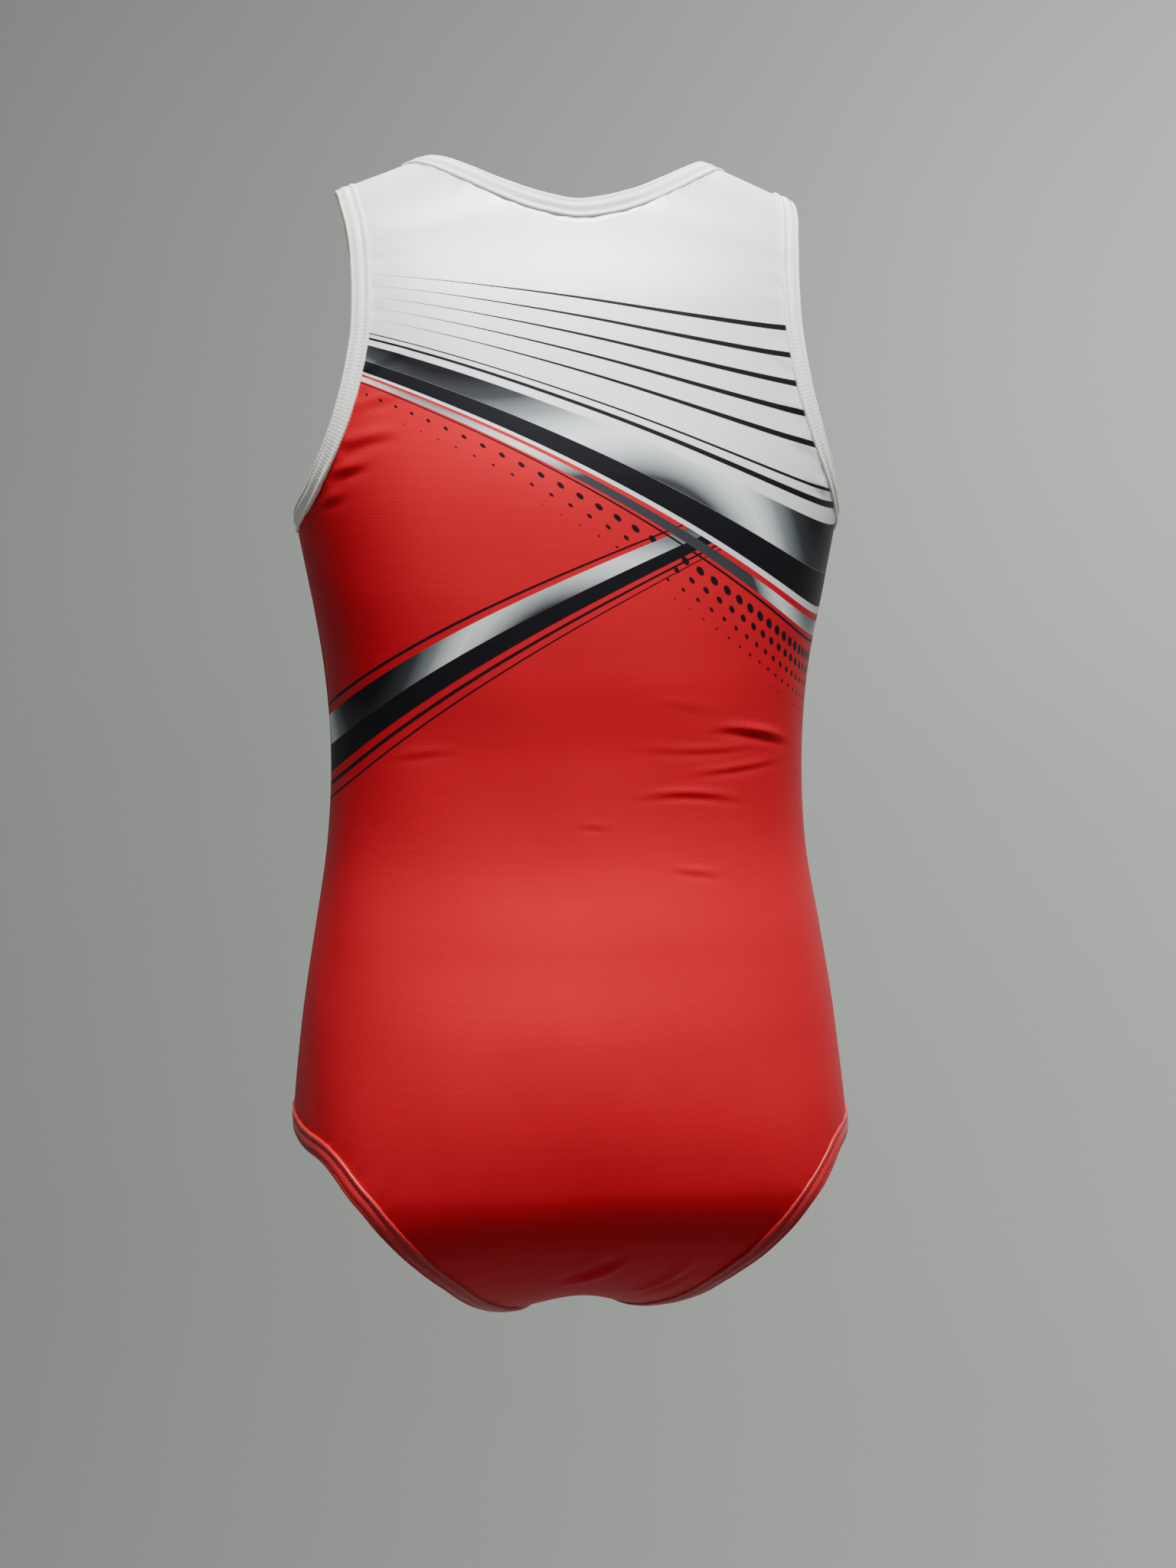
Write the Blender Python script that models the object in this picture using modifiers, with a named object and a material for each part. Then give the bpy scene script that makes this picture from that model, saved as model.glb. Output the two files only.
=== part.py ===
"""A child's sleeveless leotard in the hollow form it takes when worn.

Two panels of stretch knit, back and front, meet at the shoulders, the sides and the crotch.
Folded elastic binding edges the neck, the armholes and the legs.

Metres, +Z up. The back of the garment faces -Y, the front faces +Y and its right side is +X.
The origin lies midway between the shoulder seams, on the underside of the straps.
"""

import math
from bisect import bisect_right
from collections import namedtuple

import bmesh
import bpy
from mathutils import Vector

# Cloth and seams
PANEL_WALL = 0.0012
BINDING_WALL = 0.0024
BINDING_WIDTH = 0.008
BINDING_PROUD = 0.0006
SEAM_GAP = 0.0004

# The general figure that fills the garment, measured from the shoulder line
SHOULDER_TO_KEEL = 0.521
SHOULDER_SEAM_X = 0.0865
SHOULDER_SLOPE = 0.40
SLOPE_FADES_BY = 0.16
SLOPE_CROWN = 0.07
SHOULDER_TURN_REACH = 0.036
SHOULDER_TURN_DROP = 0.035
KEEL_TURN_REACH = 0.088
KEEL_TURN_RISE = 0.080
GUSSET_ARCH = 0.010
GUSSET_ARCH_HALF_WIDTH = 0.020
GUSSET_ARCH_FADES_BY = 0.090

# Mesh density
COLUMNS = 12
CROWDING = 0.35
PROBE = 0.001

BACK, FRONT = -1, 1
RIGHT, LEFT = 1, -1
QUARTER = math.pi / 2
SHARES = [k / COLUMNS + CROWDING * (k / COLUMNS) ** 2 * (1 - k / COLUMNS) for k in range(COLUMNS + 1)]

Section = namedtuple("Section", "height half_width middle back front square")
Knot = namedtuple("Knot", "half_width down")
Cut = namedtuple("Cut", "side neck armhole leg centre_stops")
Station = namedtuple("Station", "point normal outward")
Finish = namedtuple("Finish", "name colour roughness")

# Level sections of the figure, from the keel up: half its width, where its side lies in Y, how far the back
# and the front stand from there, and how square the section is.
SECTIONS = (
    Section(-0.530, 0.1210, -0.012, 0.084, 0.062, 0.088),
    Section(-0.500, 0.1245, -0.012, 0.094, 0.065, 0.084),
    Section(-0.460, 0.1280, -0.012, 0.102, 0.069, 0.070),
    Section(-0.420, 0.1275, -0.012, 0.104, 0.073, 0.054),
    Section(-0.380, 0.1235, -0.012, 0.099, 0.076, 0.040),
    Section(-0.340, 0.1172, -0.012, 0.088, 0.078, 0.035),
    Section(-0.300, 0.1110, -0.012, 0.078, 0.078, 0.030),
    Section(-0.260, 0.1090, -0.012, 0.076, 0.077, 0.030),
    Section(-0.220, 0.1117, -0.012, 0.078, 0.078, 0.030),
    Section(-0.180, 0.1187, -0.012, 0.079, 0.080, 0.030),
    Section(-0.140, 0.1260, -0.012, 0.077, 0.078, 0.030),
    Section(-0.100, 0.1315, -0.010, 0.071, 0.071, 0.030),
    Section(-0.060, 0.1370, -0.007, 0.064, 0.061, 0.020),
    Section(-0.030, 0.1420, -0.003, 0.057, 0.051, 0.010),
    Section(0.000, 0.1470, 0.000, 0.051, 0.042, 0.000),
    Section(0.030, 0.1500, 0.000, 0.047, 0.037, 0.000),
)

# The cut edges: half the width as seen from behind, and the distance down the cloth from the shoulder line.
BACK_NECK = (
    Knot(0.0000, 0.0615),
    Knot(0.0135, 0.0588),
    Knot(0.0270, 0.0532),
    Knot(0.0420, 0.0438),
    Knot(0.0555, 0.0320),
    Knot(0.0660, 0.0180),
    Knot(0.0735, 0.0000),
)
FRONT_NECK = (
    Knot(0.0000, 0.1160),
    Knot(0.0170, 0.1110),
    Knot(0.0330, 0.1000),
    Knot(0.0470, 0.0820),
    Knot(0.0590, 0.0580),
    Knot(0.0680, 0.0300),
    Knot(0.0735, 0.0000),
)
BACK_ARMHOLE = (
    Knot(0.0970, 0.0000),
    Knot(0.0955, 0.0260),
    Knot(0.0922, 0.0510),
    Knot(0.0912, 0.0762),
    Knot(0.0932, 0.1014),
    Knot(0.0985, 0.1245),
    Knot(0.1067, 0.1470),
    Knot(0.1161, 0.1666),
    Knot(0.1218, 0.1765),
)
FRONT_ARMHOLE = (
    Knot(0.0970, 0.0000),
    Knot(0.0930, 0.0270),
    Knot(0.0890, 0.0530),
    Knot(0.0875, 0.0790),
    Knot(0.0890, 0.1030),
    Knot(0.0945, 0.1260),
    Knot(0.1035, 0.1480),
    Knot(0.1140, 0.1662),
    Knot(0.1212, 0.1765),
)
UNDERARM_DOWN = 0.1800
HIP_DOWN = 0.4450
BACK_LEG = (
    Knot(0.1242, 0.4452),
    Knot(0.1123, 0.4483),
    Knot(0.0973, 0.4641),
    Knot(0.0850, 0.4786),
    Knot(0.0721, 0.4940),
    Knot(0.0574, 0.5117),
    Knot(0.0473, 0.5275),
    Knot(0.0364, 0.5436),
    Knot(0.0258, 0.5600),
    Knot(0.0180, 0.5775),
)
FRONT_LEG = (
    Knot(0.1235, 0.4475),
    Knot(0.1110, 0.4580),
    Knot(0.0945, 0.4751),
    Knot(0.0765, 0.4942),
    Knot(0.0590, 0.5123),
    Knot(0.0430, 0.5293),
    Knot(0.0305, 0.5457),
    Knot(0.0215, 0.5639),
    Knot(0.0165, 0.5813),
)
CROTCH_HALF_WIDTH = 0.0150

# Rows of the panel mesh that end on each stretch of its outer edge
SHOULDER_ROWS = 3
ARMHOLE_ROWS = 16
SIDE_ROWS = 14
LEG_ROWS = 18

PRINTED_KNIT = Finish("printed_knit", (0.62, 0.02, 0.02, 1.0), 0.45)
WHITE_BINDING = Finish("white_binding", (0.80, 0.79, 0.75, 1.0), 0.50)
RED_BINDING = Finish("red_binding", (0.50, 0.01, 0.015, 1.0), 0.42)


def through(stops, values, at):
    """The value at one place on a smooth curve through the stops, level beyond its ends."""
    last = len(stops) - 1
    if at <= stops[0]:
        return values[0]
    if at >= stops[last]:
        return values[last]

    def slope(k):
        before, after = max(k - 1, 0), min(k + 1, last)
        return (values[after] - values[before]) / (stops[after] - stops[before])

    k = bisect_right(stops, at) - 1
    span = stops[k + 1] - stops[k]
    t = (at - stops[k]) / span
    ease = t * t * (3 - 2 * t)
    return (
        values[k] * (1 - ease)
        + values[k + 1] * ease
        + slope(k) * (span * t * (1 - t) ** 2)
        - slope(k + 1) * (span * t * t * (1 - t))
    )


def quarter_turn(reach, rise, steps=48):
    """Lengths along a quarter ellipse from its crown to its side, and the angle at each."""
    angles = [QUARTER * k / steps for k in range(steps + 1)]
    lengths = [0.0]
    for first, second in zip(angles, angles[1:]):
        middle = (first + second) / 2
        speed = math.hypot(reach * math.cos(middle), rise * math.sin(middle))
        lengths.append(lengths[-1] + speed * (second - first))
    return lengths, angles


SHOULDER_LENGTHS, SHOULDER_ANGLES = quarter_turn(SHOULDER_TURN_REACH, SHOULDER_TURN_DROP)
KEEL_LENGTHS, KEEL_ANGLES = quarter_turn(KEEL_TURN_REACH, KEEL_TURN_RISE)
BODY_STARTS = SHOULDER_LENGTHS[-1]
BODY_ENDS = BODY_STARTS + SHOULDER_TO_KEEL - SHOULDER_TURN_DROP - KEEL_TURN_RISE
CROTCH_DOWN = BODY_ENDS + KEEL_LENGTHS[-1]


def turn(down):
    """How far the cloth has dropped below the shoulder line, and how full the figure is there, 0 to 1."""
    if down < BODY_STARTS:
        angle = through(SHOULDER_LENGTHS, SHOULDER_ANGLES, down)
        return SHOULDER_TURN_DROP * (1 - math.cos(angle)), math.sin(angle)
    if down < BODY_ENDS:
        return SHOULDER_TURN_DROP + down - BODY_STARTS, 1.0
    angle = through(KEEL_LENGTHS, KEEL_ANGLES, CROTCH_DOWN - down)
    return SHOULDER_TO_KEEL - KEEL_TURN_RISE * (1 - math.cos(angle)), math.sin(angle)


SECTION_HEIGHTS = [section.height for section in SECTIONS]
SECTION_COLUMNS = list(zip(*SECTIONS))


def section_at(height):
    return Section(*(through(SECTION_HEIGHTS, column, height) for column in SECTION_COLUMNS))


def width_share(angle, square):
    """Share of a section's half width at an angle round from its centre line."""
    return (math.sin(angle) + square * math.sin(3 * angle)) / (1 - square)


def depth_share(angle, square):
    return (math.cos(angle) - square * math.cos(3 * angle)) / (1 - square)


def height_of(half_width, drop):
    """The shoulder line slopes outwards, and the slope fades down the body."""
    fade = max(0.0, 1 - drop / SLOPE_FADES_BY) ** 2
    return PANEL_WALL - drop + SHOULDER_SLOPE * (SHOULDER_SEAM_X - half_width) * fade


def figure_point(side, across, down):
    """A point of the cloth's outer face: across runs from 0 at the centre line to 1 at the side seam."""
    drop, fullness = turn(down)
    angle = across * QUARTER
    rough = section_at(PANEL_WALL - drop)
    half_width = rough.half_width * math.hypot(width_share(angle, rough.square), SLOPE_CROWN)
    height = height_of(half_width, drop)
    section = section_at(height)
    depth = section.back if side == BACK else section.front
    x = section.half_width * width_share(angle, section.square)
    y = section.middle + side * depth * depth_share(angle, section.square) * fullness
    arch = GUSSET_ARCH * math.exp(-((x / GUSSET_ARCH_HALF_WIDTH) ** 2))
    near_keel = max(0.0, 1 - (CROTCH_DOWN - down) / GUSSET_ARCH_FADES_BY)
    lift = arch * near_keel * near_keel * (3 - 2 * near_keel)
    return Vector((x, y + side * SEAM_GAP / 2, height + lift))


def figure_normal(side, across, down):
    """The outward direction of the cloth, from its slopes across and down."""
    slope_across = figure_point(side, across + PROBE, down) - figure_point(side, across - PROBE, down)
    slope_down = figure_point(side, across, down + PROBE) - figure_point(side, across, down - PROBE)
    return slope_across.cross(slope_down).normalized() * side


def across_of(half_width, down):
    """The place across the figure where it is this wide, found by halving."""
    low, high = 0.0, 1.0
    for _ in range(30):
        middle = (low + high) / 2
        if figure_point(BACK, middle, down).x < half_width:
            low = middle
        else:
            high = middle
    return (low + high) / 2


def mirrored(place, about, axis):
    """A place on the cloth reflected in a seam, so that an edge crosses the seam squarely."""
    copy = place.copy()
    copy[axis] = 2 * about[axis] - place[axis]
    return copy


ACROSS, DOWN = 0, 1


def edge_path(side, places, start_axis, end_axis, shares):
    """Places at shares of the way along a smooth cut edge, which crosses the seam at each end squarely."""
    whole = [
        mirrored(places[1], places[0], start_axis),
        *places,
        mirrored(places[-2], places[-1], end_axis),
    ]
    points = [figure_point(side, *place) for place in whole]
    stops = [0.0]
    for first, second in zip(points, points[1:]):
        stops.append(stops[-1] + max((second - first).length, PROBE))
    stops[0] = stops[1] - (stops[2] - stops[1])
    stops[-1] = stops[-2] + (stops[-2] - stops[-3])
    start, end = stops[1], stops[-2]
    return [through(stops, whole, start + (end - start) * share) for share in shares]


def places_of(knots):
    return [Vector((across_of(knot.half_width, knot.down), knot.down)) for knot in knots]


def evenly(count):
    return [k / count for k in range(count + 1)]


def outer_edge(cut):
    """The panel's outer edge as places on the cloth: shoulder seam, armhole, side seam and leg opening."""
    neck_corner = places_of(cut.neck)[-1]
    armhole_top = places_of(cut.armhole)[0]
    underarm = Vector((1.0, UNDERARM_DOWN))
    hip = Vector((1.0, HIP_DOWN))
    crotch = Vector((across_of(CROTCH_HALF_WIDTH, CROTCH_DOWN), CROTCH_DOWN))
    shoulder = [neck_corner.lerp(armhole_top, k / SHOULDER_ROWS) for k in range(SHOULDER_ROWS)]
    armhole = edge_path(cut.side, [*places_of(cut.armhole), underarm], DOWN, ACROSS, evenly(ARMHOLE_ROWS))
    side_seam = [underarm.lerp(hip, k / SIDE_ROWS) for k in range(1, SIDE_ROWS)]
    leg = edge_path(cut.side, [hip, *places_of(cut.leg), crotch], ACROSS, DOWN, evenly(LEG_ROWS))
    return shoulder + armhole + side_seam + leg


ARMHOLE_STARTS = SHOULDER_ROWS
SIDE_STARTS = ARMHOLE_STARTS + ARMHOLE_ROWS
LEG_STARTS = SIDE_STARTS + SIDE_ROWS
LAST_ROW = LEG_STARTS + LEG_ROWS
CENTRE_ROWS = (0, ARMHOLE_STARTS, SIDE_STARTS, LEG_STARTS, LAST_ROW)

BACK_CUT = Cut(BACK, BACK_NECK, BACK_ARMHOLE, BACK_LEG, (0.0615, 0.0820, 0.2350, 0.3850, CROTCH_DOWN))
FRONT_CUT = Cut(FRONT, FRONT_NECK, FRONT_ARMHOLE, FRONT_LEG, (0.1160, 0.1290, 0.2400, 0.3850, CROTCH_DOWN))


def panel_rows(cut):
    """Rows of places over half a panel, from the neckline to the crotch seam."""
    neck = edge_path(cut.side, places_of(cut.neck), ACROSS, DOWN, SHARES)
    rows = []
    for row, outer in enumerate(outer_edge(cut)):
        centre = Vector((0.0, through(CENTRE_ROWS, cut.centre_stops, row)))
        sag_left = max(0.0, 1 - row / SIDE_STARTS) ** 2
        places = []
        for share, on_neck in zip(SHARES, neck):
            sag = on_neck - neck[0].lerp(neck[-1], share)
            places.append(centre.lerp(outer, share) + sag * sag_left)
        rows.append(places)
    return rows


def edge_stations(side, places):
    """Frames along a cut edge. The edge crosses the seams at its two ends along Y."""
    points = [figure_point(side, *place) for place in places]
    last = len(points) - 1
    stations = []
    for k, (point, place) in enumerate(zip(points, places)):
        along = points[min(k + 1, last)] - points[max(k - 1, 0)]
        if abs(point.x) < PROBE:
            along = Vector((1, 0, 0))
        elif k in (0, last):
            along = Vector((0, math.copysign(1, along.y), 0))
        normal = figure_normal(side, *place)
        outward = normal.cross(along).normalized() * -side
        stations.append(Station(point, normal, outward))
    return stations


def strip_rows(stations):
    """A strip of binding beside a cut edge, a little crowned and proud of the panel."""
    profile = ((0.00, 0.5), (0.30, 1.0), (0.72, 1.0), (1.00, 0.3))
    rows = []
    for station in stations:
        rows.append(
            [
                station.point
                + station.outward * (SEAM_GAP + BINDING_WIDTH * share)
                + station.normal * (BINDING_PROUD * rise)
                for share, rise in profile
            ]
        )
    return rows


def grid_mesh(name, rows, flipped):
    """An open surface through rows of points."""
    grid = bmesh.new()
    made = [[grid.verts.new(point) for point in row] for row in rows]
    for upper, lower in zip(made, made[1:]):
        for k in range(len(upper) - 1):
            corners = (upper[k], upper[k + 1], lower[k + 1], lower[k])
            grid.faces.new(corners[::-1] if flipped else corners)
    mesh = bpy.data.meshes.new(name)
    grid.to_mesh(mesh)
    grid.free()
    mesh.shade_smooth()
    return mesh


def add_cloth(name, rows, flipped, wall, material, both_halves=False):
    """A cloth wall: an open surface, mirrored where it crosses the centre line, and thickened inwards."""
    cloth = bpy.data.objects.new(name, grid_mesh(name, rows, flipped))
    bpy.data.collections["leotard"].objects.link(cloth)
    cloth.data.materials.append(material)
    if both_halves:
        mirror = cloth.modifiers.new("both_halves", "MIRROR")
        mirror.merge_threshold = 0.00005
    thicken = cloth.modifiers.new("wall", "SOLIDIFY")
    thicken.thickness = wall
    thicken.offset = -1
    thicken.use_even_offset = True
    return cloth


def make_material(finish):
    material = bpy.data.materials.new(finish.name)
    material.use_nodes = True
    shader = material.node_tree.nodes["Principled BSDF"]
    shader.inputs["Base Color"].default_value = finish.colour
    shader.inputs["Roughness"].default_value = finish.roughness
    material.diffuse_color = finish.colour
    return material


def for_hand(rows, hand):
    return [[Vector((point.x * hand, point.y, point.z)) for point in row] for row in rows]


def make_panel(name, cut, material):
    """One panel, and the places along its neck, armhole and leg edges."""
    places = panel_rows(cut)
    points = [[figure_point(cut.side, *place) for place in row] for row in places]
    for row in points:
        row[0].x = 0.0
    add_cloth(name, points, cut.side == BACK, PANEL_WALL, material, both_halves=True)
    outer = [row[-1] for row in places]
    return places[0], outer[ARMHOLE_STARTS : SIDE_STARTS + 1], outer[LEG_STARTS:]


def make_neck_binding(name, side, neck, material):
    rows = strip_rows(edge_stations(side, neck))
    for point in rows[0]:
        point.x = 0.0
    add_cloth(name, rows, side == FRONT, BINDING_WALL, material, both_halves=True)


def make_armhole_bindings(name, side, armhole, material):
    rows = strip_rows(edge_stations(side, armhole))
    for hand, word in ((RIGHT, "right"), (LEFT, "left")):
        flipped = (side == FRONT) == (hand == RIGHT)
        add_cloth(f"{name}_{word}", for_hand(rows, hand), flipped, BINDING_WALL, material)


def make_leg_bindings(back_leg, front_leg, material):
    """One strip round each leg opening, from the side seam under the crotch and back to the side seam."""
    behind = edge_stations(BACK, back_leg)
    ahead = edge_stations(FRONT, front_leg)
    under = Station((behind[-1].point + ahead[-1].point) / 2, behind[-1].normal, behind[-1].outward)
    rows = strip_rows([*behind[:-1], under, *reversed(ahead[:-1])])
    for hand, word in ((RIGHT, "right"), (LEFT, "left")):
        add_cloth(f"leg_binding_{word}", for_hand(rows, hand), hand == LEFT, BINDING_WALL, material)


def main():
    for obj in list(bpy.data.objects):
        bpy.data.objects.remove(obj)
    leotard = bpy.data.collections.new("leotard")
    bpy.context.scene.collection.children.link(leotard)

    knit = make_material(PRINTED_KNIT)
    white = make_material(WHITE_BINDING)
    red = make_material(RED_BINDING)

    back_neck, back_armhole, back_leg = make_panel("back_panel", BACK_CUT, knit)
    front_neck, front_armhole, front_leg = make_panel("front_panel", FRONT_CUT, knit)
    make_neck_binding("neck_binding_back", BACK, back_neck, white)
    make_neck_binding("neck_binding_front", FRONT, front_neck, white)
    make_armhole_bindings("armhole_binding_back", BACK, back_armhole, white)
    make_armhole_bindings("armhole_binding_front", FRONT, front_armhole, white)
    make_leg_bindings(back_leg, front_leg, red)


main()
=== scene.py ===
"""Picture scene of a child's sleeveless leotard in the hollow form it takes when worn.

Two printed panels of stretch knit, folded bindings and their stitches lie on the same general figure
as the source's solids. Metres, +Z up. The back of the garment faces -Y and its right side is +X.
"""

import math
from bisect import bisect_right
from collections import namedtuple

import bmesh
import bpy
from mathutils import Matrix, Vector
from mathutils.kdtree import KDTree


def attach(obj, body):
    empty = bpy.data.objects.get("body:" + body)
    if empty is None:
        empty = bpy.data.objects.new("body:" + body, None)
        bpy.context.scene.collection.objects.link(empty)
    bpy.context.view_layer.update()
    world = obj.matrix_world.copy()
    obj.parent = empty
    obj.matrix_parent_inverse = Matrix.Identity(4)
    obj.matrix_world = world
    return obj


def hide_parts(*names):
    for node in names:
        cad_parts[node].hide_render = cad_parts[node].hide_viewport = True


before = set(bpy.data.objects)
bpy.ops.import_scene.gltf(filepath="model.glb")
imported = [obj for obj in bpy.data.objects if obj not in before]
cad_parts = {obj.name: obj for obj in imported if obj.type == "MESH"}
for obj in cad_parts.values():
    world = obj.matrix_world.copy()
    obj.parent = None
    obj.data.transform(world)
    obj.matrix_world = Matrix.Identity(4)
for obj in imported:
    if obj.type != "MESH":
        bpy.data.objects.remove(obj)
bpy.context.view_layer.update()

BACK, FRONT = -1, 1
RIGHT, LEFT = 1, -1
QUARTER = math.pi / 2
PROBE = 0.001
HALVINGS = 30

Section = namedtuple("Section", "height half_width middle back front square")
Knot = namedtuple("Knot", "half_width down")
Cut = namedtuple("Cut", "side neck armhole leg centre_stops")
Station = namedtuple("Station", "point normal outward along")
Crease = namedtuple("Crease", "start end bow width height")
Drift = namedtuple("Drift", "share right down side_turn turn")
Wave = namedtuple("Wave", "share length turn")
Lamp = namedtuple("Lamp", "name place aim width height power spread")


# The general figure, as in the source

PANEL_FACE = 0.0012
SHOULDER_TO_KEEL = 0.521
SHOULDER_SEAM_X = 0.0865
SHOULDER_SLOPE = 0.40
SLOPE_FADES_BY = 0.16
SLOPE_CROWN = 0.07
SHOULDER_TURN_REACH = 0.036
SHOULDER_TURN_DROP = 0.035
KEEL_TURN_REACH = 0.088
KEEL_TURN_RISE = 0.080
GUSSET_ARCH = 0.010
GUSSET_ARCH_HALF_WIDTH = 0.020
GUSSET_ARCH_FADES_BY = 0.090

SECTIONS = (
    Section(-0.530, 0.1210, -0.012, 0.084, 0.062, 0.088),
    Section(-0.500, 0.1245, -0.012, 0.094, 0.065, 0.084),
    Section(-0.460, 0.1280, -0.012, 0.102, 0.069, 0.070),
    Section(-0.420, 0.1275, -0.012, 0.104, 0.073, 0.054),
    Section(-0.380, 0.1235, -0.012, 0.099, 0.076, 0.040),
    Section(-0.340, 0.1172, -0.012, 0.088, 0.078, 0.035),
    Section(-0.300, 0.1110, -0.012, 0.078, 0.078, 0.030),
    Section(-0.260, 0.1090, -0.012, 0.076, 0.077, 0.030),
    Section(-0.220, 0.1117, -0.012, 0.078, 0.078, 0.030),
    Section(-0.180, 0.1187, -0.012, 0.079, 0.080, 0.030),
    Section(-0.140, 0.1260, -0.012, 0.077, 0.078, 0.030),
    Section(-0.100, 0.1315, -0.010, 0.071, 0.071, 0.030),
    Section(-0.060, 0.1370, -0.007, 0.064, 0.061, 0.020),
    Section(-0.030, 0.1420, -0.003, 0.057, 0.051, 0.010),
    Section(0.000, 0.1470, 0.000, 0.051, 0.042, 0.000),
    Section(0.030, 0.1500, 0.000, 0.047, 0.037, 0.000),
)

BACK_NECK = (
    Knot(0.0000, 0.0615),
    Knot(0.0135, 0.0588),
    Knot(0.0270, 0.0532),
    Knot(0.0420, 0.0438),
    Knot(0.0555, 0.0320),
    Knot(0.0660, 0.0180),
    Knot(0.0735, 0.0000),
)
FRONT_NECK = (
    Knot(0.0000, 0.1160),
    Knot(0.0170, 0.1110),
    Knot(0.0330, 0.1000),
    Knot(0.0470, 0.0820),
    Knot(0.0590, 0.0580),
    Knot(0.0680, 0.0300),
    Knot(0.0735, 0.0000),
)
BACK_ARMHOLE = (
    Knot(0.0970, 0.0000),
    Knot(0.0955, 0.0260),
    Knot(0.0922, 0.0510),
    Knot(0.0912, 0.0762),
    Knot(0.0932, 0.1014),
    Knot(0.0985, 0.1245),
    Knot(0.1067, 0.1470),
    Knot(0.1161, 0.1666),
    Knot(0.1218, 0.1765),
)
FRONT_ARMHOLE = (
    Knot(0.0970, 0.0000),
    Knot(0.0930, 0.0270),
    Knot(0.0890, 0.0530),
    Knot(0.0875, 0.0790),
    Knot(0.0890, 0.1030),
    Knot(0.0945, 0.1260),
    Knot(0.1035, 0.1480),
    Knot(0.1140, 0.1662),
    Knot(0.1212, 0.1765),
)
UNDERARM_DOWN = 0.1800
HIP_DOWN = 0.4450
BACK_LEG = (
    Knot(0.1242, 0.4452),
    Knot(0.1123, 0.4483),
    Knot(0.0973, 0.4641),
    Knot(0.0850, 0.4786),
    Knot(0.0721, 0.4940),
    Knot(0.0574, 0.5117),
    Knot(0.0473, 0.5275),
    Knot(0.0364, 0.5436),
    Knot(0.0258, 0.5600),
    Knot(0.0180, 0.5775),
)
FRONT_LEG = (
    Knot(0.1235, 0.4475),
    Knot(0.1110, 0.4580),
    Knot(0.0945, 0.4751),
    Knot(0.0765, 0.4942),
    Knot(0.0590, 0.5123),
    Knot(0.0430, 0.5293),
    Knot(0.0305, 0.5457),
    Knot(0.0215, 0.5639),
    Knot(0.0165, 0.5813),
)
CROTCH_HALF_WIDTH = 0.0150


def through(stops, values, at):
    """The value at one place on a smooth curve through the stops, level beyond its ends."""
    last = len(stops) - 1
    if at <= stops[0]:
        return values[0]
    if at >= stops[last]:
        return values[last]

    def slope(k):
        before, after = max(k - 1, 0), min(k + 1, last)
        return (values[after] - values[before]) / (stops[after] - stops[before])

    k = bisect_right(stops, at) - 1
    span = stops[k + 1] - stops[k]
    t = (at - stops[k]) / span
    ease = t * t * (3 - 2 * t)
    return (
        values[k] * (1 - ease)
        + values[k + 1] * ease
        + slope(k) * (span * t * (1 - t) ** 2)
        - slope(k + 1) * (span * t * t * (1 - t))
    )


def quarter_turn(reach, rise, steps=48):
    """Lengths along a quarter ellipse from its crown to its side, and the angle at each."""
    angles = [QUARTER * k / steps for k in range(steps + 1)]
    lengths = [0.0]
    for first, second in zip(angles, angles[1:]):
        middle = (first + second) / 2
        speed = math.hypot(reach * math.cos(middle), rise * math.sin(middle))
        lengths.append(lengths[-1] + speed * (second - first))
    return lengths, angles


SHOULDER_LENGTHS, SHOULDER_ANGLES = quarter_turn(SHOULDER_TURN_REACH, SHOULDER_TURN_DROP)
KEEL_LENGTHS, KEEL_ANGLES = quarter_turn(KEEL_TURN_REACH, KEEL_TURN_RISE)
BODY_STARTS = SHOULDER_LENGTHS[-1]
BODY_ENDS = BODY_STARTS + SHOULDER_TO_KEEL - SHOULDER_TURN_DROP - KEEL_TURN_RISE
CROTCH_DOWN = BODY_ENDS + KEEL_LENGTHS[-1]


def turn(down):
    """How far the cloth has dropped below the shoulder line, and how full the figure is there, 0 to 1."""
    if down < BODY_STARTS:
        angle = through(SHOULDER_LENGTHS, SHOULDER_ANGLES, down)
        return SHOULDER_TURN_DROP * (1 - math.cos(angle)), math.sin(angle)
    if down < BODY_ENDS:
        return SHOULDER_TURN_DROP + down - BODY_STARTS, 1.0
    angle = through(KEEL_LENGTHS, KEEL_ANGLES, CROTCH_DOWN - down)
    return SHOULDER_TO_KEEL - KEEL_TURN_RISE * (1 - math.cos(angle)), math.sin(angle)


SECTION_HEIGHTS = [section.height for section in SECTIONS]
SECTION_COLUMNS = list(zip(*SECTIONS))


def section_at(height):
    return Section(*(through(SECTION_HEIGHTS, column, height) for column in SECTION_COLUMNS))


def width_share(angle, square):
    """Share of a section's half width at an angle round from its centre line."""
    return (math.sin(angle) + square * math.sin(3 * angle)) / (1 - square)


def depth_share(angle, square):
    return (math.cos(angle) - square * math.cos(3 * angle)) / (1 - square)


def figure_point(side, across, down):
    """A point of the cloth's outer face. Across runs from -1 at the left side seam to 1 at the right."""
    drop, fullness = turn(down)
    angle = across * QUARTER
    rough = section_at(PANEL_FACE - drop)
    half_width = rough.half_width * math.hypot(width_share(angle, rough.square), SLOPE_CROWN)
    fade = max(0.0, 1 - drop / SLOPE_FADES_BY) ** 2
    height = PANEL_FACE - drop + SHOULDER_SLOPE * (SHOULDER_SEAM_X - half_width) * fade
    section = section_at(height)
    depth = section.back if side == BACK else section.front
    x = section.half_width * width_share(angle, section.square)
    y = section.middle + side * depth * depth_share(angle, section.square) * fullness
    arch = GUSSET_ARCH * math.exp(-((x / GUSSET_ARCH_HALF_WIDTH) ** 2))
    near_keel = max(0.0, 1 - (CROTCH_DOWN - down) / GUSSET_ARCH_FADES_BY)
    return Vector((x, y, height + arch * near_keel * near_keel * (3 - 2 * near_keel)))


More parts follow.
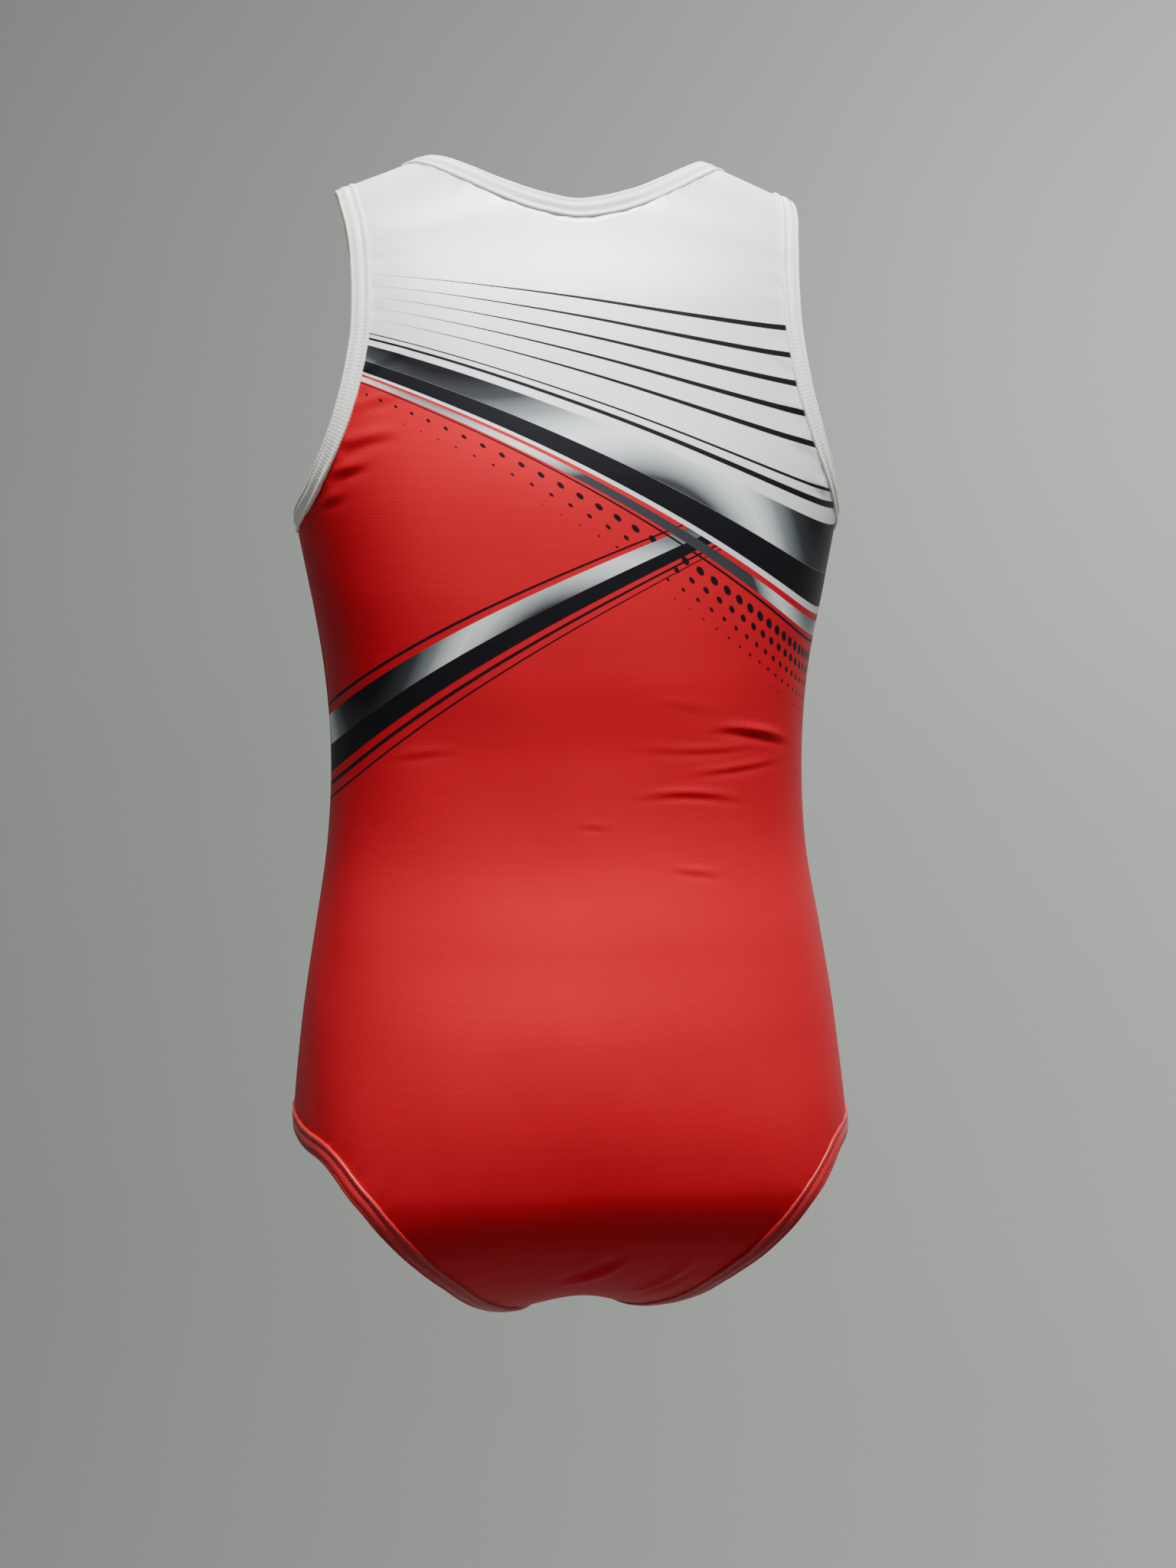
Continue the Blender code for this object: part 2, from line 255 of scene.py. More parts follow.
def figure_normal(side, across, down):
    """The outward direction of the cloth, from its slopes across and down."""
    slope_across = figure_point(side, across + PROBE, down) - figure_point(side, across - PROBE, down)
    slope_down = figure_point(side, across, down + PROBE) - figure_point(side, across, down - PROBE)
    return slope_across.cross(slope_down).normalized() * side


def across_of(half_width, down):
    """The place across the figure where it is this wide, found by halving."""
    low, high = 0.0, 1.0
    for _ in range(HALVINGS):
        middle = (low + high) / 2
        if figure_point(BACK, middle, down).x < half_width:
            low = middle
        else:
            high = middle
    return (low + high) / 2


# Cut edges

ACROSS, DOWN = 0, 1


def mirrored(place, about, axis):
    """A place on the cloth reflected in a seam, so that an edge crosses the seam squarely."""
    copy = place.copy()
    copy[axis] = 2 * about[axis] - place[axis]
    return copy


def edge_path(side, places, start_axis, end_axis, shares):
    """Places at shares of the way along a smooth cut edge, which crosses the seam at each end squarely."""
    whole = [
        mirrored(places[1], places[0], start_axis),
        *places,
        mirrored(places[-2], places[-1], end_axis),
    ]
    points = [figure_point(side, *place) for place in whole]
    stops = [0.0]
    for first, second in zip(points, points[1:]):
        stops.append(stops[-1] + max((second - first).length, PROBE))
    stops[0] = stops[1] - (stops[2] - stops[1])
    stops[-1] = stops[-2] + (stops[-2] - stops[-3])
    start, end = stops[1], stops[-2]
    return [through(stops, whole, start + (end - start) * share) for share in shares]


def places_of(knots):
    return [Vector((across_of(knot.half_width, knot.down), knot.down)) for knot in knots]


def evenly(count):
    return [k / count for k in range(count + 1)]


BACK_CUT = Cut(BACK, BACK_NECK, BACK_ARMHOLE, BACK_LEG, (0.0615, 0.0820, 0.2350, 0.3850, CROTCH_DOWN))
FRONT_CUT = Cut(FRONT, FRONT_NECK, FRONT_ARMHOLE, FRONT_LEG, (0.1160, 0.1290, 0.2400, 0.3850, CROTCH_DOWN))
UNDERARM = Vector((1.0, UNDERARM_DOWN))
HIP = Vector((1.0, HIP_DOWN))


def neck_places(cut, shares):
    return edge_path(cut.side, places_of(cut.neck), ACROSS, DOWN, shares)


def armhole_places(cut, shares):
    return edge_path(cut.side, [*places_of(cut.armhole), UNDERARM], DOWN, ACROSS, shares)


def leg_places(cut, shares):
    crotch = Vector((across_of(CROTCH_HALF_WIDTH, CROTCH_DOWN), CROTCH_DOWN))
    return edge_path(cut.side, [HIP, *places_of(cut.leg), crotch], ACROSS, DOWN, shares)


# Panels

SHOULDER_ROWS = 8
ARMHOLE_ROWS = 104
SIDE_ROWS = 196
LEG_ROWS = 92
HALF_COLUMNS = 52
CLOTH = 0.0009
COLUMN_CROWDING = 0.35
COLUMN_SHARES = [k + COLUMN_CROWDING * k * k * (1 - k) for k in evenly(HALF_COLUMNS)]

ARMHOLE_STARTS = SHOULDER_ROWS
SIDE_STARTS = ARMHOLE_STARTS + ARMHOLE_ROWS
LEG_STARTS = SIDE_STARTS + SIDE_ROWS
LAST_ROW = LEG_STARTS + LEG_ROWS
CENTRE_ROWS = (0, ARMHOLE_STARTS, SIDE_STARTS, LEG_STARTS, LAST_ROW)


def panel_places(cut):
    """Rows of places over a whole panel, from the neckline to the crotch seam and from left to right."""
    neck = neck_places(cut, COLUMN_SHARES)
    armhole = armhole_places(cut, evenly(ARMHOLE_ROWS))
    shoulder = [neck[-1].lerp(armhole[0], k / SHOULDER_ROWS) for k in range(SHOULDER_ROWS)]
    side_seam = [UNDERARM.lerp(HIP, k / SIDE_ROWS) for k in range(1, SIDE_ROWS)]
    outer_edge = shoulder + armhole + side_seam + leg_places(cut, evenly(LEG_ROWS))
    rows = []
    for row, outer in enumerate(outer_edge):
        centre = Vector((0.0, through(CENTRE_ROWS, cut.centre_stops, row)))
        sag_left = max(0.0, 1 - row / SIDE_STARTS) ** 2
        right = []
        for share, on_neck in zip(COLUMN_SHARES, neck):
            sag = on_neck - neck[0].lerp(neck[-1], share)
            right.append(centre.lerp(outer, share) + sag * sag_left)
        left = [Vector((-place.x, place.y)) for place in reversed(right[1:])]
        rows.append(left + right)
    return rows


GIRTH_ROWS = 60
GIRTH_STEPS = 24
ALMOST_ONE = 0.99999


def girth_table(side):
    """Lengths round the figure from its centre line, at steps down and across."""
    table = []
    for row in range(GIRTH_ROWS + 1):
        down = CROTCH_DOWN * row / GIRTH_ROWS
        points = [figure_point(side, k / GIRTH_STEPS, down) for k in range(GIRTH_STEPS + 1)]
        lengths = [0.0]
        for first, second in zip(points, points[1:]):
            lengths.append(lengths[-1] + (second - first).length)
        table.append(lengths)
    return table


GIRTHS = {BACK: girth_table(BACK), FRONT: girth_table(FRONT)}


def flat_place(side, place):
    """A place as metres to the right of the centre line and metres down from the shoulder line."""
    row = min(max(place.y / CROTCH_DOWN, 0.0), ALMOST_ONE) * GIRTH_ROWS
    column = min(abs(place.x), ALMOST_ONE) * GIRTH_STEPS
    j, k = int(row), int(column)
    s, t = row - j, column - k
    table = GIRTHS[side]
    upper = table[j][k] * (1 - t) + table[j][k + 1] * t
    lower = table[j + 1][k] * (1 - t) + table[j + 1][k + 1] * t
    return math.copysign(upper * (1 - s) + lower * s, place.x), place.y


# Creases: from and to in metres right of the centre line and down from the shoulder line, how far the
# middle bows down, half the width of the ridge and its height. A trough lies below each ridge. Where the
# height is below zero, the ridge is a groove.
BACK_CREASES = (
    Crease((0.0560, 0.2648), (0.1030, 0.2742), -0.0016, 0.0018, 0.0010),
    Crease((0.0190, 0.2730), (0.0840, 0.2731), 0.0020, 0.0016, 0.0002),
    Crease((0.0300, 0.2520), (0.0600, 0.2612), -0.0008, 0.0016, 0.0002),
    Crease((0.0430, 0.2852), (0.0960, 0.2806), 0.0004, 0.0016, 0.0003),
    Crease((0.0200, 0.2950), (0.0740, 0.2990), -0.0032, 0.0018, 0.0004),
    Crease((-0.0040, 0.3066), (0.0090, 0.3092), -0.0010, 0.0016, 0.0002),
    Crease((0.0360, 0.3258), (0.0600, 0.3292), 0.0004, 0.0017, 0.0003),
    Crease((-0.0900, 0.2790), (-0.0560, 0.2740), -0.0008, 0.0018, 0.0002),
    Crease((-0.0180, 0.5125), (0.0170, 0.4925), 0.0030, 0.0024, -0.0014),
    Crease((0.0160, 0.5300), (0.0450, 0.4990), 0.0030, 0.0026, 0.0013),
    Crease((-0.1030, 0.1150), (-0.0860, 0.1060), 0.0003, 0.0020, 0.0005),
    Crease((-0.0920, 0.1098), (-0.0730, 0.1020), 0.0004, 0.0019, 0.0005),
    Crease((-0.1020, 0.1270), (-0.0800, 0.1222), 0.0000, 0.0020, 0.0005),
    Crease((-0.1110, 0.1440), (-0.0800, 0.1378), -0.0006, 0.0024, 0.0008),
    Crease((-0.1180, 0.1562), (-0.0930, 0.1500), 0.0003, 0.0020, 0.0008),
    Crease((-0.1270, 0.1690), (-0.1060, 0.1632), 0.0003, 0.0020, 0.0005),
    Crease((0.1040, 0.1100), (0.0820, 0.1010), 0.0004, 0.0021, 0.0005),
    Crease((0.1060, 0.1290), (0.0850, 0.1222), 0.0000, 0.0020, 0.0005),
    Crease((0.1150, 0.1460), (0.0900, 0.1385), 0.0004, 0.0021, 0.0006),
    Crease((0.1250, 0.1640), (0.1020, 0.1555), 0.0003, 0.0020, 0.0006),
    Crease((-0.1040, 0.0760), (-0.0860, 0.0705), 0.0002, 0.0020, 0.0003),
    Crease((0.1030, 0.0700), (0.0840, 0.0660), 0.0002, 0.0020, 0.0003),
)
FRONT_CREASES = (
    Crease((-0.1020, 0.1080), (-0.0800, 0.1010), 0.0004, 0.0021, 0.0006),
    Crease((-0.1050, 0.1270), (-0.0780, 0.1200), 0.0003, 0.0022, 0.0008),
    Crease((-0.1180, 0.1480), (-0.0880, 0.1400), -0.0005, 0.0022, 0.0009),
    Crease((-0.1300, 0.1680), (-0.1040, 0.1610), 0.0003, 0.0020, 0.0006),
    Crease((0.1030, 0.1020), (0.0830, 0.0950), 0.0003, 0.0021, 0.0006),
    Crease((0.1070, 0.1240), (0.0800, 0.1160), 0.0003, 0.0022, 0.0008),
    Crease((0.1200, 0.1500), (0.0880, 0.1430), -0.0005, 0.0023, 0.0010),
    Crease((0.1340, 0.1720), (0.1080, 0.1640), 0.0003, 0.0020, 0.0006),
    Crease((-0.1120, 0.2700), (-0.0560, 0.2640), -0.0020, 0.0017, 0.0009),
    Crease((-0.0700, 0.2830), (-0.0160, 0.2860), 0.0016, 0.0016, 0.0004),
    Crease((0.0260, 0.2760), (0.0900, 0.2700), 0.0010, 0.0016, 0.0004),
    Crease((0.0700, 0.2950), (0.1180, 0.2900), -0.0010, 0.0016, 0.0005),
    Crease((-0.0450, 0.3080), (0.0050, 0.3110), -0.0012, 0.0016, 0.0003),
    Crease((-0.0950, 0.4620), (-0.0560, 0.4440), 0.0020, 0.0028, 0.0008),
    Crease((0.0860, 0.4680), (0.0500, 0.4480), 0.0020, 0.0028, 0.0009),
    Crease((-0.0400, 0.5150), (-0.0200, 0.4900), 0.0020, 0.0026, 0.0008),
    Crease((0.0350, 0.5200), (0.0150, 0.4930), 0.0018, 0.0026, 0.0010),
)

CREASE_REACH = 4
CREASE_TAPER = 1.3
TROUGH_SHARE = 0.75
TROUGH_BELOW = 1.7
TROUGH_SHARPNESS = 1.3

DRIFT_HEIGHT = 0.00022
DRIFTS = (
    Drift(1.0, 41, 23, 1.0, 0.0),
    Drift(0.8, -19, 67, 2.1, 0.0),
    Drift(0.5, 97, -58, 0.0, 0.7),
)

PUCKER_HEIGHT = 0.00016
PUCKER_REACH = 0.0060
PUCKERS = (
    Wave(1.0, 0.0019, 0.0),
    Wave(0.7, 0.0012, 1.3),
    Wave(0.6, 0.0041, 0.4),
)
BOUND_EDGE_STEPS = 160
HAND_SHIFT = 0.3

SEAM_DIP = 0.0009
SEAM_DIP_REACH = 0.0017


def crease_rise(crease, right, down):
    """How far one crease lifts the cloth at a flat place."""
    run_right = crease.end[0] - crease.start[0]
    run_down = crease.end[1] - crease.start[1]
    length = math.hypot(run_right, run_down)
    from_right, from_down = right - crease.start[0], down - crease.start[1]
    t = (from_right * run_right + from_down * run_down) / length**2
    if not 0 < t < 1:
        return 0.0
    below = (from_down * run_right - from_right * run_down) / length
    below = below * math.copysign(1, run_right) - crease.bow * 4 * t * (1 - t)
    q = below / crease.width
    if abs(q) > CREASE_REACH:
        return 0.0
    taper = math.sin(math.pi * t) ** CREASE_TAPER
    trough = TROUGH_SHARE * math.exp(-((q - TROUGH_BELOW) ** 2) * TROUGH_SHARPNESS)
    return crease.height * taper * (math.exp(-q * q) - trough)


def level_place(side, place, right):
    """A flat place with its way down measured so that level lines stay level over the sloped shoulders."""
    roof = figure_point(side, *place).z - PANEL_FACE + turn(place.y)[0]
    return right, place.y - roof


def long_drift(side, right, down):
    """Broad, shallow unevenness of the stretched cloth."""
    rise = 0.0
    for drift in DRIFTS:
        phase = drift.right * right + drift.down * down + drift.side_turn * side + drift.turn
        rise += drift.share * math.sin(phase)
    return DRIFT_HEIGHT * rise


def waver(waves, along, seed=1.0):
    """Unevenness at a distance along an edge, summed from waves that the seed turns."""
    return sum(wave.share * math.sin(along / wave.length + wave.turn * seed) for wave in waves)


def bound_edges(cut):
    """A lookup of the panel's bound edges that gives the distance along them."""
    lengths = []
    points = []
    for edge_places in (neck_places, armhole_places, leg_places):
        places = edge_places(cut, evenly(BOUND_EDGE_STEPS))
        for hand in (RIGHT, LEFT):
            along = HAND_SHIFT * hand
            before = None
            for place in places:
                point = figure_point(cut.side, place.x * hand, place.y)
                along += (point - before).length if before else 0.0
                points.append(point)
                lengths.append(along)
                before = point
    lookup = KDTree(len(points))
    for index, point in enumerate(points):
        lookup.insert(point, index)
    lookup.balance()
    return lookup, lengths


def panel_rise(side, point, place, flat, creases, edges):
    """How far the cloth stands above the smooth figure at one place."""
    right, down = flat
    lookup, lengths = edges
    _, index, away = lookup.find(point)
    rise = sum(crease_rise(crease, right, down) for crease in creases)
    rise += long_drift(side, right, down)
    rise += PUCKER_HEIGHT * waver(PUCKERS, lengths[index]) * math.exp(-away / PUCKER_REACH)
    half_round = flat_place(side, Vector((1.0, place.y)))[0]
    from_seam = min(half_round - abs(right), down, CROTCH_DOWN - down)
    near_seam = math.exp(-((from_seam / SEAM_DIP_REACH) ** 2))
    return rise * (1 - near_seam) - SEAM_DIP * near_seam


def add_piece(name, mesh, materials):
    piece = bpy.data.objects.new(name, mesh)
    bpy.context.scene.collection.objects.link(piece)
    for material in materials:
        piece.data.materials.append(material)
    mesh.shade_smooth()
    return piece


def paint_map(mesh, name, places):
    """A UV map that gives each corner its point's place."""
    layer = mesh.uv_layers.new(name=name)
    for loop in mesh.loops:
        layer.data[loop.index].uv = places[loop.vertex_index]


def grid_faces(side, row_count, columns):
    """The faces between the rows of a panel's places, all turned outwards."""
    faces = []
    for j in range(row_count - 1):
        for k in range(columns - 1):
            corner = j * columns + k
            face = (corner, corner + 1, corner + columns + 1, corner + columns)
            faces.append(face[::-1] if side == BACK else face)
    return faces


def make_panel(name, cut, creases, materials):
    """One panel: a grid on the smooth figure, raised by creases and puckers, then given its thickness."""
    rows = panel_places(cut)
    places = [place for row in rows for place in row]
    points = [figure_point(cut.side, *place) for place in places]
    mesh = bpy.data.meshes.new(name)
    mesh.from_pydata(points, [], grid_faces(cut.side, len(rows), len(rows[0])))
    mesh.update()
    flats = [flat_place(cut.side, place) for place in places]
    edges = bound_edges(cut)
    normals = [vertex.normal.copy() for vertex in mesh.vertices]
    for vertex, normal, place, flat in zip(mesh.vertices, normals, places, flats):
        vertex.co += normal * panel_rise(cut.side, vertex.co, place, flat, creases, edges)
    levels = [level_place(cut.side, place, flat[0]) for place, flat in zip(places, flats)]
    rounds = []
    for place, level in zip(places, levels):
        angle = place.x * QUARTER
        rounds.append((angle if cut.side == BACK else math.pi - angle, level[1]))
    paint_map(mesh, "cloth", levels)
    paint_map(mesh, "print", rounds)
    panel = add_piece(name, mesh, materials)
    wall = panel.modifiers.new("cloth thickness", "SOLIDIFY")
    wall.thickness = CLOTH
    wall.offset = -1
    wall.material_offset = 1
    return panel


# Folded bindings

STITCH_PITCH = 0.00175
STITCH_ROWS = (0.0019, 0.0064)
STITCH_LIFT = 0.00048
ROUGH_STEPS = 60
MILLIMETRES = 1000

# The folded strip's section: outward from the cut edge and up from the cloth, in millimetres
FOLD = (
    (-0.90, 0.02),
    (-0.86, 0.62),
    (-0.52, 1.02),
    (0.10, 1.12),
    (0.72, 0.98),
    (1.30, 0.66),
    (1.90, 0.50),
    (2.50, 0.68),
    (3.30, 0.98),
    (4.20, 1.10),
    (5.10, 0.98),
    (5.85, 0.68),
    (6.40, 0.50),
    (6.95, 0.62),
    (7.55, 0.66),
    (8.02, 0.30),
    (8.16, -0.30),
    (7.85, -0.95),
    (6.90, -1.20),
    (4.40, -1.40),
    (1.80, -1.35),
    (-0.30, -1.25),
    (-0.85, -0.80),
)
VALLEYS = (6, 12)
FOLD_MIDDLE = 0.004
INNER_FOLD_ENDS = 3

# How far, in millimetres, the strip is pulled in at a stitch, how much its thickness and width waver, and
# what share of its thickness a seam takes away
STITCH_PULL = 0.16
PULL_BESIDE_VALLEYS = 0.25
THICKNESS_WAVER = 0.10
WIDTH_WAVER = 0.14
WIDTH_SEED = 3.1
SEAM_PINCH = 0.42
SEAM_PINCH_REACH = 0.0011
BINDING_WAVES = (
    Wave(0.5, 0.0063, 1.0),
    Wave(0.3, 0.0031, 2.3),
    Wave(0.2, 0.0167, 0.0),
)


def edge_stations(side, places, hand=RIGHT):
    """Frames along a cut edge, with the direction along the edge, out of the cloth, and off the panel."""
    points = [figure_point(side, *place) for place in places]
    last = len(points) - 1
    stations = []
    for k, (point, place) in enumerate(zip(points, places)):
        along = points[min(k + 1, last)] - points[max(k - 1, 0)]
        if abs(point.x) < PROBE:
            along = Vector((1, 0, 0))
        elif k in (0, last):
            along = Vector((0, math.copysign(1, along.y), 0))
        normal = figure_normal(side, *place)
        outward = normal.cross(along).normalized() * -side
        stations.append(station_for(hand, point, normal, outward, along.normalized()))
    return stations


def station_for(hand, *vectors):
    """A frame on the garment's right, or its mirror image on the left."""
    return Station(*(Vector((vector.x * hand, vector.y, vector.z)) for vector in vectors))


def turned_round(stations):
    """The same frames in the opposite order, each facing the other way along the edge."""
    return [station._replace(along=-station.along) for station in reversed(stations)]


def stitched_places(cut, edge_places):
    """Places along an edge, two steps for each stitch."""
    rough = [figure_point(cut.side, *place) for place in edge_places(cut, evenly(ROUGH_STEPS))]
    length = sum((second - first).length for first, second in zip(rough, rough[1:]))
    return edge_places(cut, evenly(2 * round(length / STITCH_PITCH)))


def fold_rows(stations, seed, seams):
    """Closed sections of a folded strip, pulled in at each stitch and pinched at its seams."""
    lengths = [0.0]
    for first, second in zip(stations, stations[1:]):
        lengths.append(lengths[-1] + (second.point - first.point).length)
    rows = []
    for k, (station, at) in enumerate(zip(stations, lengths)):
        pinch = sum(math.exp(-(((at - lengths[seam]) / SEAM_PINCH_REACH) ** 2)) for seam in seams)
        pulled = STITCH_PULL if k % 2 else 0.0
        wider = WIDTH_WAVER * waver(BINDING_WAVES, at, seed + WIDTH_SEED)
        row = []
        for index, (out, up) in enumerate(FOLD):
            if up > 0:
                up *= 1 + THICKNESS_WAVER * waver(BINDING_WAVES, at, seed + 0.05 * index)
                up -= pulled if index in VALLEYS else pulled * PULL_BESIDE_VALLEYS
                up -= SEAM_PINCH * min(pinch, 1) * up
            out += wider * (1 if out > INNER_FOLD_ENDS else 0.5)
            beside = station.outward * (out / MILLIMETRES)
            above = station.normal * (up / MILLIMETRES)
            row.append(station.point + beside + above)
        rows.append(row)
    return rows, lengths


def make_binding(name, stations, seed, material, seams=()):
    """A folded strip along an edge as one closed piece."""
    rows, lengths = fold_rows(stations, seed, (0, len(stations) - 1, *seams))
    size = len(FOLD)
    strip = bmesh.new()
    made = [[strip.verts.new(point) for point in row] for row in rows]
    for first, second in zip(made, made[1:]):
        for k in range(size):
            after = (k + 1) % size
            strip.faces.new((first[k], first[after], second[after], second[k]))
    for end in (made[0], made[-1]):
        middle = strip.verts.new(sum((corner.co for corner in end), Vector()) / size)
        for k in range(size):
            strip.faces.new((end[k], end[(k + 1) % size], middle))
    bmesh.ops.recalc_face_normals(strip, faces=strip.faces)
    mesh = bpy.data.meshes.new(name)
    strip.to_mesh(mesh)
    strip.free()
    places = [(at, out / MILLIMETRES) for at in lengths for out, _ in FOLD]
    places += [(lengths[0], FOLD_MIDDLE), (lengths[-1], FOLD_MIDDLE)]
    paint_map(mesh, "cloth", places)
    piece = add_piece(name, mesh, [material])
    return piece


# Stitches

Stitch = namedtuple("Stitch", "point along outward")


def stitches_on(stations):
    """Where each stitch lies on a binding: one on every second station of each row."""
    found = []
    for station in stations[1::2]:
        for out in STITCH_ROWS:
            point = station.point + station.outward * out + station.normal * STITCH_LIFT
            found.append(Stitch(point, station.along, station.normal))
    return found


def add_node(tree, kind, links=(), **settings):
    """A node with its properties set and its inputs linked or filled."""
    node = tree.nodes.new(kind)
    for word, value in settings.items():
        setattr(node, word, value)
    for socket, value in dict(links).items():
        if isinstance(value, bpy.types.NodeSocket):
            tree.links.new(value, node.inputs[socket])
        else:
            node.inputs[socket].default_value = value
    return node


def stitch_tree(thread):
    """Geometry nodes that lay one stitch of thread on each point of a row."""
    tree = bpy.data.node_groups.new("stitch row", "GeometryNodeTree")
    face = tree.interface
    face.new_socket("Points", in_out="INPUT", socket_type="NodeSocketGeometry")
    for word, usual in (("Stitch length", 0.00128), ("Thread thickness", 0.00040), ("Unevenness", 0.14)):
        socket = face.new_socket(word, in_out="INPUT", socket_type="NodeSocketFloat")
        socket.default_value = usual
    face.new_socket("Stitches", in_out="OUTPUT", socket_type="NodeSocketGeometry")
    given = tree.nodes.new("NodeGroupInput").outputs
    bead = add_node(tree, "GeometryNodeMeshUVSphere", {"Segments": 8, "Rings": 5, "Radius": 0.5})
    along = add_node(tree, "GeometryNodeInputNamedAttribute", {"Name": "along"}, data_type="FLOAT_VECTOR")
    proud = add_node(tree, "GeometryNodeInputNamedAttribute", {"Name": "proud"}, data_type="FLOAT_VECTOR")
    lie = add_node(tree, "FunctionNodeAlignRotationToVector", {"Vector": along.outputs[0]}, axis="X")
    face_out = add_node(
        tree,
        "FunctionNodeAlignRotationToVector",
        {"Rotation": lie.outputs[0], "Vector": proud.outputs[0]},
        axis="Z",
        pivot_axis="X",
    )
    size = add_node(
        tree,
        "ShaderNodeCombineXYZ",
        {"X": given["Stitch length"], "Y": given["Thread thickness"], "Z": given["Thread thickness"]},
    )
    spread = add_node(tree, "FunctionNodeRandomValue", {"Seed": 7}, data_type="FLOAT")
    low = add_node(tree, "ShaderNodeMath", {0: 1.0, 1: given["Unevenness"]}, operation="SUBTRACT")
    high = add_node(tree, "ShaderNodeMath", {0: 1.0, 1: given["Unevenness"]}, operation="ADD")
    tree.links.new(low.outputs[0], spread.inputs[2])
    tree.links.new(high.outputs[0], spread.inputs[3])
    scale = add_node(
        tree,
        "ShaderNodeVectorMath",
        {0: size.outputs[0], 3: spread.outputs[1]},
        operation="SCALE",
    )
    points = add_node(tree, "GeometryNodeMeshToPoints", {"Mesh": given["Points"]})
    laid = add_node(
        tree,
        "GeometryNodeInstanceOnPoints",
        {
            "Points": points.outputs[0],
            "Instance": bead.outputs[0],
            "Rotation": face_out.outputs[0],
            "Scale": scale.outputs[0],
        },
    )
    real = add_node(tree, "GeometryNodeRealizeInstances", {"Geometry": laid.outputs[0]})
    painted = add_node(tree, "GeometryNodeSetMaterial", {"Geometry": real.outputs[0], "Material": thread})
    output = tree.nodes.new("NodeGroupOutput")
    tree.links.new(painted.outputs[0], output.inputs[0])
    return tree


def make_stitches(name, stitches, thread, sizes):
    """All stitches of one thread as one plain mesh."""
    rows = bpy.data.meshes.new(name + " rows")
    rows.from_pydata([stitch.point for stitch in stitches], [], [])
    for word, field in (("along", "along"), ("proud", "outward")):
        layer = rows.attributes.new(word, "FLOAT_VECTOR", "POINT")
        for index, stitch in enumerate(stitches):
            layer.data[index].vector = getattr(stitch, field)
    maker = bpy.data.objects.new(name + " rows", rows)
    bpy.context.scene.collection.objects.link(maker)
    tree = stitch_tree(thread)
    nodes = maker.modifiers.new("stitches", "NODES")
    nodes.node_group = tree
    for item in tree.interface.items_tree:
        if item.in_out == "INPUT" and item.name in sizes:
            nodes[item.identifier] = sizes[item.name]
    bpy.context.view_layer.update()
    laid = maker.evaluated_get(bpy.context.evaluated_depsgraph_get())
    mesh = bpy.data.meshes.new_from_object(laid)
    bpy.data.objects.remove(maker)
    return add_piece(name, mesh, [])


# Finishes


class Field:
    """A shader value that plain arithmetic turns into math nodes."""

    def __init__(self, tree, socket):
        self.tree = tree
        self.socket = socket

    def step(self, operation, *others):
        node = self.tree.nodes.new("ShaderNodeMath")
        node.operation = operation
        for index, value in enumerate((self, *others)):
            if isinstance(value, Field):
                self.tree.links.new(value.socket, node.inputs[index])
            else:
                node.inputs[index].default_value = value
        return Field(self.tree, node.outputs[0])

    def __add__(self, other):
        return self.step("ADD", other)

    def __sub__(self, other):
        return self.step("SUBTRACT", other)

    def __mul__(self, other):
        return self.step("MULTIPLY", other)

    def __truediv__(self, other):
        return self.step("DIVIDE", other)

    def wave(self, turned=0.0):
        return (self + turned).step("SINE")

    def limited(self):
        self.socket.node.use_clamp = True
        return self

    def above(self, edge, blur=0.25):
        """0 below an edge and 1 above it, with a soft step."""
        return ((self - edge) * (1 / blur) + 0.5).limited()

    def between(self, low, high, blur=0.25):
        """1 between two edges and 0 outside them."""
        from_middle = (self - (low + high) / 2).step("ABSOLUTE")
        return (from_middle * (-1 / blur) + ((high - low) / (2 * blur) + 0.5)).limited()


def map_places(tree, name):
    """The two values of a UV map."""
    uv = add_node(tree, "ShaderNodeUVMap", uv_map=name)
    parts = add_node(tree, "ShaderNodeSeparateXYZ", {0: uv.outputs[0]})
    return Field(tree, parts.outputs[0]), Field(tree, parts.outputs[1])


def blend(tree, share, first, second):
    """A colour between two, by share."""
    node = tree.nodes.new("ShaderNodeMix")
    node.data_type = "RGBA"
    tree.links.new(share.socket, node.inputs[0])
    for socket, value in ((node.inputs[6], first), (node.inputs[7], second)):
        if isinstance(value, bpy.types.NodeSocket):
            tree.links.new(value, socket)
        else:
            socket.default_value = value
    return node.outputs[2]


def colour_steps(tree, share, stops):
    """An even colour ramp from stops of place and colour."""
    node = add_node(tree, "ShaderNodeValToRGB", {0: share.socket})
    ramp = node.color_ramp
    ramp.interpolation = "LINEAR"
    while len(ramp.elements) < len(stops):
        ramp.elements.new(1.0)
    for element, (place, colour) in zip(ramp.elements, stops):
        element.position = place
        element.color = colour
    return node.outputs[0]


def noise(tree, scale, detail=2.0, stretch=(1, 1, 1)):
    """Soft noise in object coordinates, from 0 to 1."""
    coordinates = add_node(tree, "ShaderNodeTexCoord")
    shape = add_node(tree, "ShaderNodeMapping", {"Vector": coordinates.outputs["Object"], "Scale": stretch})
    sizes = {"Vector": shape.outputs[0], "Scale": scale, "Detail": detail}
    texture = add_node(tree, "ShaderNodeTexNoise", sizes)
    return Field(tree, texture.outputs["Fac"])


KNIT_WALE = 0.00085
KNIT_COURSE = 0.00075
BINDING_RIB = 0.00070
CHEVRON_SLANT = 5.2
RIB_SHARE = 0.4


def knit(right, down, wale, course):
    """The height of a fine knit: columns of small chevrons."""
    column = (right / wale).step("PINGPONG", 0.5)
    loops = (down * (2 * math.pi / course) + column * CHEVRON_SLANT).wave() * 0.5 + 0.5
    rib = (column * 2.0 - 0.5).step("ABSOLUTE") * -1.6 + 1.0
    return loops * (1 - RIB_SHARE) + rib * RIB_SHARE


